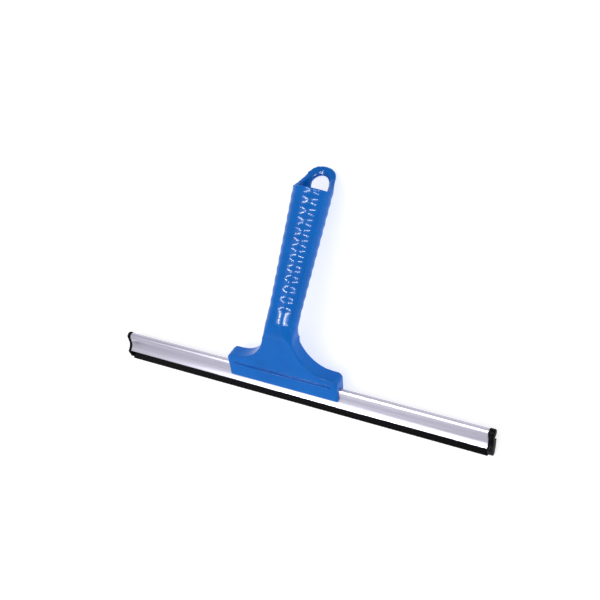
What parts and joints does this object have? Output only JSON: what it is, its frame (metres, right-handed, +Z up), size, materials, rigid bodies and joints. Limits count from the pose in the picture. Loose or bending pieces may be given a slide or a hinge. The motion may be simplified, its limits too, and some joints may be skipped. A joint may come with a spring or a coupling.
{
  "type": "window cleaning squeegee",
  "caption": "T-shaped hand squeegee: ribbed moulded handle with a hanging loop, an aluminium bar, a rubber wiping blade and end caps.",
  "frame": {"origin": "centre of the bounding box in plan, on the surface the squeegee lies on", "axes": "+X along the aluminium bar, +Y from the wiping edge to the hanging loop, +Z up out of the surface, towards the squeegee's front"},
  "size_m": [0.3506, 0.204, 0.0479],
  "materials": {
    "handle_plastic": "smooth moulded polypropylene, blue, softly glossy",
    "bar_aluminium": "extruded and satin anodised, fine lines along its length",
    "blade_rubber": "smooth matt black rubber with a sharp cut edge",
    "cap_plastic": "moulded, fine matt grain",
    "screw_steel": "zinc plated"
  },
  "bodies": {
    "handle": {"handle": "handle_plastic", "clamp_screw_left": "screw_steel", "clamp_screw_right": "screw_steel"},
    "bar": {"aluminium_bar": "bar_aluminium"},
    "blade": {"rubber_blade": "blade_rubber"},
    "cap_left": {"end_cap_left": "cap_plastic"},
    "cap_right": {"end_cap_right": "cap_plastic"}
  },
  "joints": [
    {"name": "bar_slide", "type": "slide", "parent": "handle", "child": "bar", "axis": [1, 0, 0], "range_m": [-0.13, 0.105]},
    {"name": "blade_slide", "type": "slide", "parent": "bar", "child": "blade", "axis": [1, 0, 0], "range_m": [0, 0.36]},
    {"name": "cap_left_pull", "type": "slide", "parent": "bar", "child": "cap_left", "axis": [-1, 0, 0], "range_m": [0, 0.012]},
    {"name": "cap_right_pull", "type": "slide", "parent": "blade", "child": "cap_right", "axis": [1, 0, 0], "range_m": [0, 0.012]}
  ]
}
